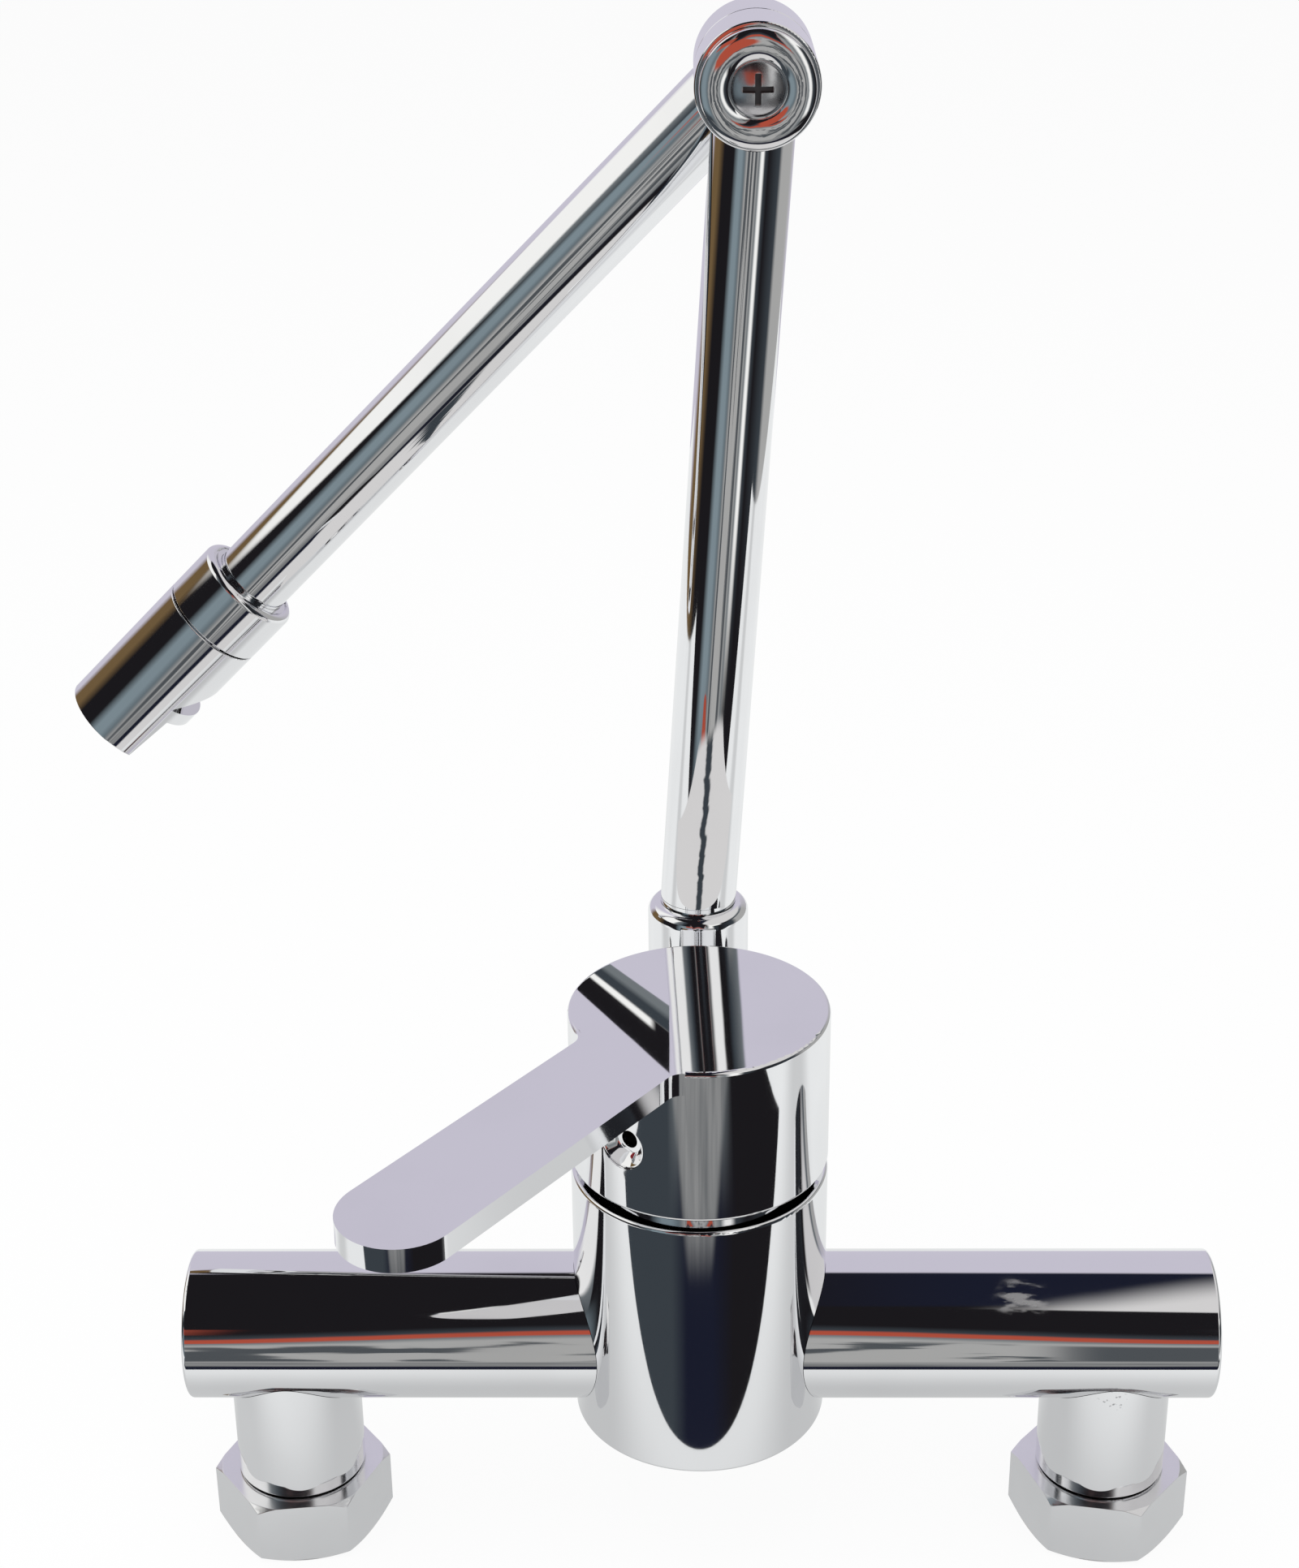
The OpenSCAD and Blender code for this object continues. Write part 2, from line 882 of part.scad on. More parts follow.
module spout_spigot() {
    color(CHROME)
        difference() {
            union() {
                translate([0, spout_back, spigot_foot])
                    cylinder(r = spigot_r, h = spigot_top - spigot_foot);
                translate([0, spout_back, socket_top + film])
                    cylinder(r = tube_r, h = spigot_flange_t);
                at_riser()
                    cylinder(r = stub_r, h = spigot_top - socket_top + stub_len);
            }
            translate([0, spout_back, spigot_foot - cut])
                cylinder(r = stub_bore_r, h = socket_top - spigot_foot + cut);
            at_riser()
                translate([0, 0, -cut])
                    cylinder(r = stub_bore_r, h = spigot_flange_t + 2 * stub_len);
            translate([0, spout_back, 0])
                groove(spigot_r, lock_groove_z, lock_groove_w, lock_groove_d);
            for (drop = seal_drop)
                translate([0, spout_back, 0])
                    groove(spigot_r, socket_top - drop, ring_groove_w, ring_groove_d);
        }
}

module spigot_seals() {
    color(RUBBER)
        for (drop = seal_drop)
            translate([0, spout_back, socket_top - drop])
                seal(spigot_r - ring_groove_d / 2, ring_groove_d / 2 - seam);
}

module riser_tube() {
    color(CHROME)
        difference() {
            at_riser()
                pipe(tube_r, tube_in_r, riser_len);
            translate([-tube_d, spout_back - tube_d, spigot_top + seam - tube_d])
                cube([2 * tube_d, 2 * tube_d, tube_d]);
            at_knuckle()
                along_y()
                    cylinder(r = knuckle_front_r + seam, h = 2 * tube_d, center = true);
        }
}

// Knuckle

module knuckle_front() {
    stub_end = knuckle_front_r + stub_len;
    color(CHROME)
        at_knuckle()
            difference() {
                union() {
                    translate([0, -front_half, 0])
                        along_y()
                            rod(knuckle_front_r, 2 * front_half, edge / 2, edge / 2);
                    translate([0, 0, -stub_end])
                        cylinder(r = stub_r, h = stub_end);
                }
                along_y()
                    cylinder(r = pivot_r + run, h = 3 * front_half, center = true);
                translate([0, 0, -stub_end - cut])
                    cylinder(r = stub_bore_r, h = stub_end + cut);
            }
}

module knuckle_rear() {
    stub_end = knuckle_rear_r + stub_len;
    color(CHROME)
        at_arm()
            difference() {
                union() {
                    translate([0, rear_start, 0])
                        along_y()
                            rod(knuckle_rear_r, rear_len, edge / 2, knuckle_edge);
                    translate([0, -pivot_end, 0])
                        along_y()
                            cylinder(r = pivot_r, h = pivot_end + rear_start + cut);
                    translate([0, arm_side, 0])
                        cylinder(r = stub_r, h = stub_end);
                }
                translate([0, -pivot_bore_front, 0])
                    along_y()
                        cylinder(r = pivot_bore_r, h = pivot_bore_front + rear_end - pivot_bore_back);
                translate([0, -pivot_end - cut, 0])
                    along_y()
                        cylinder(r = screw_r + run, h = pivot_end + cut);
                translate([0, arm_side, 0])
                    cylinder(r = stub_bore_r, h = stub_end + cut);
                along_y() {
                    groove(pivot_r, 0, water_groove_w, water_groove_d);
                    for (y = [-pivot_seal_y, pivot_seal_y])
                        groove(pivot_r, y, ring_groove_w, ring_groove_d);
                }
                for (turn = [0, 90])
                    rotate([0, turn, 0])
                        cylinder(r = cross_hole_r, h = knuckle_rear_d, center = true);
            }
}

module knuckle_seals() {
    color(RUBBER)
        at_arm()
            along_y()
                for (y = [-pivot_seal_y, pivot_seal_y])
                    translate([0, 0, y])
                        seal(pivot_r - ring_groove_d / 2, ring_groove_d / 2 - seam);
}

module knuckle_disc() {
    recess_r = screw_head_d / 2 + screw_recess_gap;
    color(CHROME)
        at_arm()
            rotate([90, 0, 0])
                translate([0, 0, disc_back_y])
                    difference() {
                        intersection() {
                            rod(disc_r, disc_t, edge / 2, disc_edge);
                            union() {
                                cylinder(r = recess_r + cut, h = disc_t - screw_recess);
                                rotate_extrude()
                                    translate([(recess_r + disc_r) / 2, disc_t - disc_swell_r])
                                        circle(disc_swell_r);
                            }
                        }
                        translate([0, 0, disc_t - screw_recess])
                            cylinder(r = recess_r, h = disc_t);
                        translate([0, 0, -cut])
                            cylinder(r = screw_r + 2 * run, h = disc_t + cut);
                    }
}

module knuckle_screw() {
    head_r = screw_head_d / 2;
    head_y = disc_front_y - screw_recess;
    color(STEEL)
        at_arm()
            rotate([90, 0, 0])
                difference() {
                    union() {
                        translate([0, 0, head_y])
                            intersection() {
                                cylinder(r = head_r, h = screw_head_t);
                                translate([0, 0, screw_head_t - screw_head_dome])
                                    sphere(screw_head_dome);
                            }
                        translate([0, 0, screw_tip_y])
                            cylinder(r = screw_r, h = head_y - screw_tip_y + screw_head_t / 2);
                    }
                    for (turn = [45, 135])
                        rotate([0, 0, turn])
                            translate([-slot_len / 2, -slot_w / 2, head_y + screw_head_t - slot_depth])
                                cube([slot_len, slot_w, slot_depth + cut]);
                }
}

// Arm and nozzle

module along_nozzle(z) {
    at_arm()
        translate([0, arm_side, z])
            children();
}

module arm_tube() {
    color(CHROME)
        difference() {
            along_nozzle(0)
                pipe(tube_r, tube_in_r, nozzle_split + tube_seat);
            at_arm()
                along_y()
                    cylinder(r = knuckle_rear_r + seam, h = 4 * rear_end, center = true);
        }
}

module nozzle_collar() {
    spigot_end = collar_len + nozzle_spigot_len;
    color(CHROME)
        along_nozzle(nozzle_start)
            difference() {
                union() {
                    rod(nozzle_r, collar_len, collar_bevel, edge / 3);
                    cylinder(r = nozzle_spigot_r, h = spigot_end);
                }
                translate([0, 0, -cut])
                    pipe(collar_ring_r + collar_groove_w, collar_ring_r, collar_groove_d + cut);
                translate([0, 0, -cut])
                    cylinder(r = tube_r + seam, h = collar_len + tube_seat + seam + cut);
                cylinder(r = tube_in_r, h = spigot_end + cut);
                groove(nozzle_spigot_r, collar_len + nozzle_seal_at, ring_groove_w, nozzle_groove_d);
            }
}

module nozzle_seal() {
    color(RUBBER)
        along_nozzle(nozzle_split + nozzle_seal_at)
            seal(nozzle_spigot_r - nozzle_groove_d / 2, nozzle_groove_d / 2 - seam / 2);
}

// A side view of the nozzle, cut right through it: x out from the axis is negative, y runs along it
module through_nozzle() {
    rotate([90, 0, 0])
        linear_extrude(2 * nozzle_d, center = true)
            children();
}

// The notch that the water leaves by, sunk further by the given amount
module outlet_notch(sink = 0) {
    far = nozzle_r + cut;
    through_nozzle()
        translate([sink, 0])
            polygon([
                [-far, outlet_start - cut * outlet_slope], [-outlet_floor, outlet_end], [-far, outlet_end]
            ]);
}

module nozzle_body() {
    far = nozzle_r + cut;
    color(CHROME)
        along_nozzle(nozzle_split + free)
            difference() {
                intersection() {
                    rod(nozzle_r, nozzle_len, edge / 3, tip_round);
                    translate([0, 0, nozzle_len - tip_dome_r])
                        sphere(tip_dome_r);
                }
                translate([0, 0, -cut])
                    cylinder(r = nozzle_spigot_r + run, h = outlet_end + cut);
                outlet_notch();
                through_nozzle()
                    polygon([
                        [-flat_near, lip_end], [-flat_far, nozzle_len + cut],
                        [-far, nozzle_len + cut], [-far, lip_end]
                    ]);
            }
}

module aerator() {
    face_tilt = atan(outlet_slope);
    face_mid = (nozzle_spigot_r + outlet_floor) / 2;
    face_z = outlet_start + (nozzle_r - face_mid) * outlet_slope;
    color(DARK)
        along_nozzle(nozzle_split + free)
            difference() {
                translate([0, 0, nozzle_spigot_len])
                    cylinder(r = nozzle_spigot_r, h = outlet_end - nozzle_spigot_len - seam);
                outlet_notch(free);
                translate([0, 0, nozzle_spigot_len - cut])
                    cylinder(r = insert_chamber_r, h = insert_chamber_len + cut);
                translate([-face_mid, 0, face_z])
                    rotate([0, -face_tilt, 0])
                        for (x = jet_rows)
                            for (y = [-jet_side:jet_side])
                                translate([x, y * jet_step, -jet_depth])
                                    cylinder(r = jet_r, h = 2 * jet_depth);
            }
}

// The pieces that come in pairs

module left_bar_arm() {
    bar_arm(-1);
}

module right_bar_arm() {
    bar_arm(1);
}

module left_tail() {
    at_inlet(-1)
        tail();
}

module right_tail() {
    at_inlet(1)
        tail();
}

module left_nipple() {
    at_inlet(-1)
        nipple();
}

module right_nipple() {
    at_inlet(1)
        nipple();
}

module left_washer() {
    at_inlet(-1)
        washer();
}

module right_washer() {
    at_inlet(1)
        washer();
}

module left_union_nut() {
    at_inlet(-1)
        union_nut(nut_turn_left);
}

module right_union_nut() {
    at_inlet(1)
        union_nut(nut_turn_right);
}

mixer_body();
left_bar_arm();
right_bar_arm();
left_tail();
right_tail();
left_nipple();
right_nipple();
left_washer();
right_washer();
left_union_nut();
right_union_nut();
cartridge_base();
port_seals();
fixed_disc();
cartridge_housing();
lock_ring();
shroud();
moving_disc();
disc_carrier();
stem_guide();
pivot_pin();
stem();
handle();
set_screw();
index_plug();
index_mark();
spout_socket();
spout_lock_screw();
spout_spigot();
spigot_seals();
riser_tube();
knuckle_front();
knuckle_rear();
knuckle_seals();
knuckle_disc();
knuckle_screw();
arm_tube();
nozzle_collar();
nozzle_seal();
nozzle_body();
aerator();
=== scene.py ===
"""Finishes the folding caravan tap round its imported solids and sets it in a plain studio."""

import json
import math

import bpy
from mathutils import Matrix, Vector

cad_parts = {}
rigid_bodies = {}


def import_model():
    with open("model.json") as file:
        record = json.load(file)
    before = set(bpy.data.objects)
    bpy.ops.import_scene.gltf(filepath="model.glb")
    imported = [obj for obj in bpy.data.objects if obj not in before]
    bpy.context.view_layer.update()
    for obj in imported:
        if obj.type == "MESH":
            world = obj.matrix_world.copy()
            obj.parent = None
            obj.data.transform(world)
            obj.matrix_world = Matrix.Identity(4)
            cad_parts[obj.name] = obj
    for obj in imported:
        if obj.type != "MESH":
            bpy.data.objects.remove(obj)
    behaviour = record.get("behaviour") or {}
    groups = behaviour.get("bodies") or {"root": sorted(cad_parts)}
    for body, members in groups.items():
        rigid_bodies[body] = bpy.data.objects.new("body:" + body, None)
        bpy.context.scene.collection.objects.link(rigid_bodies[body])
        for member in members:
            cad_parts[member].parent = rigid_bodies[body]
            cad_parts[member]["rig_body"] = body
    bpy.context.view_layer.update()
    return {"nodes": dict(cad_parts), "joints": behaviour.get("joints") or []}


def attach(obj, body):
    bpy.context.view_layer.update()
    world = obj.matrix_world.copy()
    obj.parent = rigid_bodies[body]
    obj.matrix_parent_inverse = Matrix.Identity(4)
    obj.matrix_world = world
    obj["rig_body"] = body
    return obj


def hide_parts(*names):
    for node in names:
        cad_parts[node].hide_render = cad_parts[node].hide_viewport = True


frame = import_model()

bl_info = {
    "name": "Folding Caravan Tap",
    "version": (1, 0, 0),
    "blender": (4, 5, 0),
    "location": "3D View > Sidebar > Tap",
    "description": "Finishes a folding caravan tap and sets it in a plain studio",
    "category": "Object",
}

JOINTS = {joint["name"]: joint for joint in frame["joints"]}
CHROME_NODES = (
    "mixer_body", "left_bar_arm", "right_bar_arm", "left_tail", "right_tail", "shroud",
    "spout_socket", "spout_spigot", "riser_tube", "knuckle_front", "knuckle_rear", "arm_tube",
)
RUBBER_NODES = (
    "left_washer", "right_washer", "port_seals", "spigot_seals", "knuckle_seals", "nozzle_seal",
)

# Copies of CAD nodes: how near points are merged, and what counts as flat and as smooth, in radians
MERGE_DISTANCE = 1e-6
FLAT_ANGLE = math.radians(0.4)
SMOOTH_ANGLE = 0.6
NORMAL_WEIGHT = 60

# Marks in the finishes, in metres: a flaw on the bar, specks below it and the screw's recess, whose
# dark colour is painted shade
FLAW_PLACE = (0.0575, -0.0076, 0.0545)
FLAW_RADIUS = 0.0062
SPECKS_PLACE = (0.0745, -0.0105, 0.035)
SPECKS_RADIUS = 0.0035
SPECKS_COLOUR = (0.2, 0.2, 0.21)
CROSS_HALF = 0.00045
CROSS_REACH = 0.0025
CROSS_PAINTED_SHADE = (0.03, 0.032, 0.035)

# The camera: its place in metres and its turns in degrees
CAMERA_EYE = (-0.001418, -0.390507, 0.330337)
CAMERA_PITCH = 24.51
CAMERA_YAW = -0.99
CAMERA_ROLL = -0.601

# The white studio that the camera sees
BACKDROP = (1.0, 1.0, 1.0)
AMBIENT = (0.62, 0.62, 0.63)
FLOOR_WHITE_SHARE = 0.93

# Tones of the room that the chrome mirrors
PAPER = (0.62, 0.595, 0.69)
WHITE = (1.0, 1.0, 0.97)
PALE = (0.72, 0.71, 0.7)
MIST = (0.42, 0.42, 0.41)
GREY = (0.18, 0.2, 0.21)
TEAL = (0.22, 0.28, 0.31)
SLATE = (0.045, 0.055, 0.065)
NAVY = (0.011, 0.013, 0.027)
BROWN = (0.17, 0.11, 0.05)
RED = (0.46, 0.085, 0.05)
BLACK = (0.012, 0.011, 0.013)

# The room below, level with and above the tap, by degrees from straight behind, the left first
LOW_RING = (
    (-180, GREY), (-160, GREY), (-152, SLATE), (-112, SLATE), (-85, BROWN), (-40, PALE),
    (75, PALE), (97, SLATE), (108, BLACK), (152, BLACK), (160, GREY), (180, GREY),
)
LEVEL_RING = (
    (-180, GREY), (-167, SLATE), (-152, TEAL), (-142, TEAL), (-129, BLACK), (-98, BLACK),
    (-78, BROWN), (-58, BROWN), (-44, PAPER), (12, PAPER), (45, MIST), (85, MIST), (96, SLATE),
    (132, BLACK), (144, SLATE), (149, WHITE), (154, WHITE), (159, GREY), (180, GREY),
)
HIGH_RING = (
    (-180, BLACK), (-150, BLACK), (-140, SLATE), (-123, GREY), (-116, WHITE), (-50, WHITE),
    (-30, PAPER), (25, PAPER), (45, GREY), (92, SLATE), (104, BLACK), (122, BLACK), (128, WHITE),
    (152, WHITE), (160, BLACK), (180, BLACK),
)
# The floor beyond the table's edge, by the same degrees
FLOOR_RING = (
    (-180, NAVY), (-168, NAVY), (-155, SLATE), (-100, SLATE), (100, BLACK), (150, BLACK),
    (168, NAVY), (180, NAVY),
)
# The user's side of the room, by the sine of the height
FRONT_COLUMN = (
    (-1.0, NAVY), (-0.58, NAVY), (-0.51, SLATE), (-0.44, MIST), (0.2, MIST), (0.29, GREY),
    (0.32, RED), (0.39, RED), (0.43, SLATE), (0.55, BLACK), (1.0, BLACK),
)

# The tent that the room is painted on, in metres
TENT_RADIUS = 8.0

# Edges in the painted room, each the start and the end of a smooth step. Heights are sines,
# turns are degrees from straight behind, and sides are shares of the tent's radius.
LEVEL_FROM = (-0.42, -0.32)
HIGH_FROM = (0.4, 0.44)
CEILING_FROM = (0.85, 0.89)
CEILING_RIGHT = (0.0, 0.12)
GROUND_BELOW = (-0.63, -0.66)
FLOOR_BELOW = (-0.49, -0.56)
FLOOR_IN_FRONT = (0.1, -0.1)
FRONT_FROM = (158, 168)
# The picture in front sinks away from its middle and rises again at its sides
SINK_SIDES = (0.03, 0.22)
SINK_DEPTH = 0.26
RISE_SIDES = (0.21, 0.25)
RISE_DEPTH = 0.6
SINK_HEIGHTS = (-0.3, 0.1)
# Dark blots in front
BLOT_STRETCH = (17.0, 5.0, 4.5)
BLOT_EDGE = (0.5, 0.58)
BLOT_RIGHT = (0.12, 0.17)
BLOT_LOW = (-0.46, -0.4)
BLOT_HIGH = (0.22, 0.1)
BLOT_SIDES = (0.26, 0.22)
BLOT_SHARE = 0.9
# A red patch in front and to the left, between two turns and two heights
RED_TURNS = ((-169, -166), (-150, -153))
RED_HEIGHTS = ((0.27, 0.3), (0.43, 0.41))
# A mottled tongue that narrows as it goes down
TONGUE_HEIGHTS = ((-0.575, -0.55), (-0.44, -0.48))
TONGUE_SLANT = 200
TONGUE_TURN = (53, 58)
# A skylight to the right, between two slanting edges
SKYLIGHT_NEAR_SLANT = 1.6
SKYLIGHT_NEAR = (-0.5, -0.44)
SKYLIGHT_FAR_SLANT = 11.5
SKYLIGHT_FAR = (1.85, 2.7)
SKYLIGHT_LEFT = (0.09, 0.13)
SKYLIGHT_LOW = (0.5, 0.6)

# The mirrored table: its sheets as name, left, right, front and back, and the tap's soft shadow
TABLE_HEIGHT = 0.0004
TABLE_SHEETS = (
    ("table", -0.52, 0.48, -0.063, 0.7),
    ("table_left", -0.52, -0.14, -0.15, -0.063),
    ("table_right", 0.17, 0.48, -0.12, -0.063),
)
SHADOW_COLOUR = (0.12, 0.12, 0.125)
SHADOW_DEPTH = (0.012, 0.06)
SHADOW_WIDTH = (0.045, 0.16)

# The painted reflection of the arm, a strip behind the cap: tones by the share of its width, and
# edges by slope and height
ARM_REFLECTION_TONES = (
    (0.0, GREY), (0.14, GREY), (0.24, SLATE), (0.38, SLATE), (0.42, WHITE), (0.5, WHITE),
    (0.55, BLACK), (1.0, BLACK),
)
STRIP_LOW_EDGE = (0.819, 0.1289)
STRIP_HIGH_EDGE = (1.056, 0.1449)
STRIP_SOFT = 0.0003
STRIP_DARK_END = (-0.0092, -0.0078)
STRIP_DARK_SHARE = (0.38, 0.4)

# The card over the cap: its wavy line and its ragged front edge, by the bearing from within the riser
BEARING_FROM = 0.036
WAVE_STRETCH = (0.0, 120.0, 0.0)
WAVE_LINE = (0.2, 0.1)
RAGGED_SIDES = (0.2, 1.2)
RAGGED_DEPTH = 0.03
RAGGED_FRONT = (-0.055, -0.045)

# The red spot before the knuckle
SPOT_PLACE = (0.0035, 0.005, 0.267)
SPOT_RADIUS = 0.009
SPOT_EDGE = (0.1, 0.5)


# Shader maths

class Term:
    """A shader socket that takes part in Python arithmetic."""

    def __init__(self, graph, socket):
        self.graph = graph
        self.socket = socket

    def _do(self, operation, *terms):
        return self.graph.add("ShaderNodeMath", {"operation": operation}, dict(enumerate(terms)))

    def __add__(self, other):
        return self._do("ADD", self, other)

    def __radd__(self, other):
        return self._do("ADD", other, self)

    def __sub__(self, other):
        return self._do("SUBTRACT", self, other)

    def __rsub__(self, other):
        return self._do("SUBTRACT", other, self)

    def __mul__(self, other):
        return self._do("MULTIPLY", self, other)

    def __rmul__(self, other):
        return self._do("MULTIPLY", other, self)

    def __truediv__(self, other):
        return self._do("DIVIDE", self, other)

    def __abs__(self):
        return self._do("ABSOLUTE", self)


class Graph:
    """Adds nodes to one material's or world's tree."""

    def __init__(self, tree):
        self.tree = tree
        tree.nodes.clear()

    def add(self, kind, settings=None, values=None, out=0):
        """Adds one node, sets it up, feeds its sockets and returns one of its outputs."""
        node = self.tree.nodes.new(kind)
        for name, value in (settings or {}).items():
            if name == "stops":
                self._stops(node.color_ramp, value)
            else:
                setattr(node, name, value)
        for name, value in (values or {}).items():
            socket = node.inputs[name]
            if isinstance(value, Term):
                self.tree.links.new(value.socket, socket)
            else:
                socket.default_value = value
        return Term(self, node.outputs[out]) if node.outputs else None

    def _stops(self, ramp, stops):
        while len(ramp.elements) < len(stops):
            ramp.elements.new(1.0)
        ramp.interpolation = "LINEAR"
        for element, (place, colour) in zip(ramp.elements, stops):
            element.position = place
            element.color = colour

    def object_place(self):
        return self.add("ShaderNodeTexCoord", out="Object")

    def ray(self, kind):
        """One for rays of a kind that the Light Path node names."""
        return self.add("ShaderNodeLightPath", out=kind)

    def front_face(self):
        """One on the side that a face points to, nought on its back."""
        return 1.0 - self.add("ShaderNodeNewGeometry", out="Backfacing")

    def parts(self, vector):
        """The three components of a vector."""
        split = self.add("ShaderNodeSeparateXYZ", None, {"Vector": vector}).socket.node
        return [Term(self, socket) for socket in split.outputs]

    def noise(self, place, scale, detail=2.0):
        return self.add(
            "ShaderNodeTexNoise", None, {"Vector": place, "Scale": scale, "Detail": detail}
        )

    def streaks(self, place, factors, detail):
        """Noise with its own scale along each axis."""
        stretched = self.add(
            "ShaderNodeMapping", {"vector_type": "POINT"}, {"Vector": place, "Scale": factors}
        )
        return self.noise(stretched, scale=1.0, detail=detail)

    def step(self, value, low, high, start=0.0, end=1.0):
        """A smooth step from start to end as the value goes from low to high."""
        return self.add(
            "ShaderNodeMapRange", {"interpolation_type": "SMOOTHSTEP"},
            {"Value": value, "From Min": low, "From Max": high, "To Min": start, "To Max": end},
        )

    def band(self, value, rise, fall):
        """One between two edges, each the start and the end of a smooth step."""
        return self.step(value, *rise) * self.step(value, *fall)

    def near(self, place, centre, radius, core=0.35):
        """One in the core of a ball round a point, fading to nought at the ball's radius."""
        away = self.add(
            "ShaderNodeVectorMath", {"operation": "DISTANCE"}, {0: place, 1: centre}, out="Value"
        )
        return self.step(away, radius * core, radius, 1.0, 0.0)

    def blend(self, share, first, second):
        """A colour between two colours."""
        return self.add(
            "ShaderNodeMix", {"data_type": "RGBA"}, {"Factor": share, "A": first, "B": second},
            out="Result",
        )

    def ramp(self, value, stops, low, high):
        """A colour that changes along a value, through stops given in the value's own units."""
        places = [((place - low) / (high - low), rgba(colour)) for place, colour in stops]
        share = (value - low) / (high - low)
        return self.add("ShaderNodeValToRGB", {"stops": places}, {"Fac": share})

    def bump(self, height, depth, strength):
        return self.add(
            "ShaderNodeBump", None, {"Height": height, "Distance": depth, "Strength": strength}
        )

    def glow(self, tone):
        """Plain light of one tone."""
        return self.add("ShaderNodeEmission", None, {"Color": tone, "Strength": 1.0})


def rgba(colour):
    return (*tuple(colour)[:3], 1.0)


def dimmed(colour, factor):
    """A darker shade of a colour."""
    return rgba([part * factor for part in colour])


def new_material(name):
    material = bpy.data.materials.new(name)
    material.use_nodes = True
    return material, Graph(material.node_tree)


def end_material(graph, surface):
    graph.add("ShaderNodeOutputMaterial", None, {"Surface": surface})


def close_material(graph, values):
    """Ends a tree in one shader and the material's output."""
    end_material(graph, graph.add("ShaderNodeBsdfPrincipled", None, values, out="BSDF"))


def close_card(graph, tone, shown):
    """Ends a tree in plain light where a card is shown, and in nothing elsewhere."""
    clear = graph.add("ShaderNodeBsdfTransparent")
    light = graph.glow(tone)
    end_material(graph, graph.add("ShaderNodeMixShader", None, {0: shown, 1: clear, 2: light}))


# Finishes

def chrome(finish):
    """Polished plating: faint haze and wiping marks, a dull flaw on the bar and specks below it."""
    material, g = new_material("polished_chrome")
    place = g.object_place()
    haze = g.step(g.noise(place, scale=26.0, detail=4.0), 0.45, 0.75)
    wipe = g.step(g.streaks(place, (900.0, 900.0, 60.0), detail=3.0), 0.62, 0.8)
    smear = g.step(g.streaks(place, (180.0, 500.0, 500.0), detail=3.0), 0.44, 0.66)
    dust = g.step(g.noise(place, scale=1100.0), 0.6, 0.66)
    flaw = g.near(place, FLAW_PLACE, FLAW_RADIUS) * smear
    specks = g.near(place, SPECKS_PLACE, SPECKS_RADIUS) * dust
    marks = flaw * 2.6 + specks
    colour = g.blend(haze * 0.5, rgba(finish.chrome_colour), rgba(finish.haze_colour))
    close_material(g, {
        "Base Color": g.blend(specks * 0.7, colour, rgba(SPECKS_COLOUR)),
        "Metallic": 1.0,
        "Roughness": finish.chrome_roughness + haze * 0.012 + wipe * 0.015 + marks * 0.12,
        "Normal": g.bump(g.noise(place, scale=60.0, detail=1.0), depth=0.00005, strength=0.3),
    })
    return material


def satin_chrome(finish):
    """The nuts' plating over machined flats, with fine tool marks that blur what it mirrors."""
    material, g = new_material("satin_chrome")
    place = g.object_place()
    tool = g.streaks(place, (140.0, 140.0, 2600.0), detail=3.0)
    cloud = g.noise(place, scale=160.0, detail=3.0)
    close_material(g, {
        "Base Color": g.blend(cloud * 0.6, rgba(finish.chrome_colour), rgba(finish.haze_colour)),
        "Metallic": 1.0,
        "Roughness": finish.nut_roughness + g.step(tool, 0.35, 0.7) * 0.06 + cloud * 0.05,
        "Normal": g.bump(tool, depth=0.00003, strength=0.5),
    })
    return material


def turned_brass(finish):
    """Bare brass with the rings that a lathe leaves."""
    material, g = new_material("turned_brass")
    place = g.object_place()
    rings = g.streaks(place, (90.0, 90.0, 3200.0), detail=2.0)
    stain = g.step(g.noise(place, scale=120.0, detail=4.0), 0.4, 0.75)
    close_material(g, {
        "Base Color": g.blend(stain, rgba(finish.brass_colour), dimmed(finish.brass_colour, 0.72)),
        "Metallic": 1.0,
        "Roughness": 0.24 + rings * 0.1 + stain * 0.12,
        "Normal": g.bump(rings, depth=0.00004, strength=0.6),
    })
    return material


def moulded(name, colour, roughness, mottle, grain, depth):
    """A moulded material: mottled colour over a fine grain."""
    material, g = new_material(name)
    place = g.object_place()
    cloud = g.step(g.noise(place, scale=90.0, detail=3.0), 0.3, 0.7)
    skin = g.noise(place, scale=grain)
    close_material(g, {
        "Base Color": g.blend(cloud, rgba(colour), dimmed(colour, 1.0 - mottle)),
        "Roughness": roughness + skin * 0.12,
        "Normal": g.bump(skin, depth, strength=0.6),
    })
    return material


def screw_steel(finish, centre):
    """Screw steel whose cross recess is dull, and darkened with painted shade."""
    material, g = new_material("screw_steel")
    place = g.object_place()
    x, _, z = g.parts(place)
    across = abs(x - centre[0])
    along = abs(z - centre[2])
    side = (CROSS_HALF * 1.15, CROSS_HALF)
    tip = (CROSS_REACH, CROSS_REACH * 0.95)
    slots = g.step(across, *side) + g.step(along, *side)
    cross = g.step(slots, 0.0, 0.5) * (g.step(across, *tip) * g.step(along, *tip))
    dull = g.step(g.noise(place, scale=350.0, detail=3.0), 0.4, 0.7)
    colour = g.blend(dull, rgba(finish.steel_colour), dimmed(finish.steel_colour, 0.8))
    close_material(g, {
        # Painted shade darkens the cross recess; its dullness in the roughness is real
        "Base Color": g.blend(cross * 0.85, colour, rgba(CROSS_PAINTED_SHADE)),
        "Metallic": 1.0,
        "Roughness": 0.22 + dull * 0.12 + cross * 0.2,
        "Normal": g.bump(g.noise(place, scale=900.0), depth=0.00002, strength=0.4),
    })
    return material


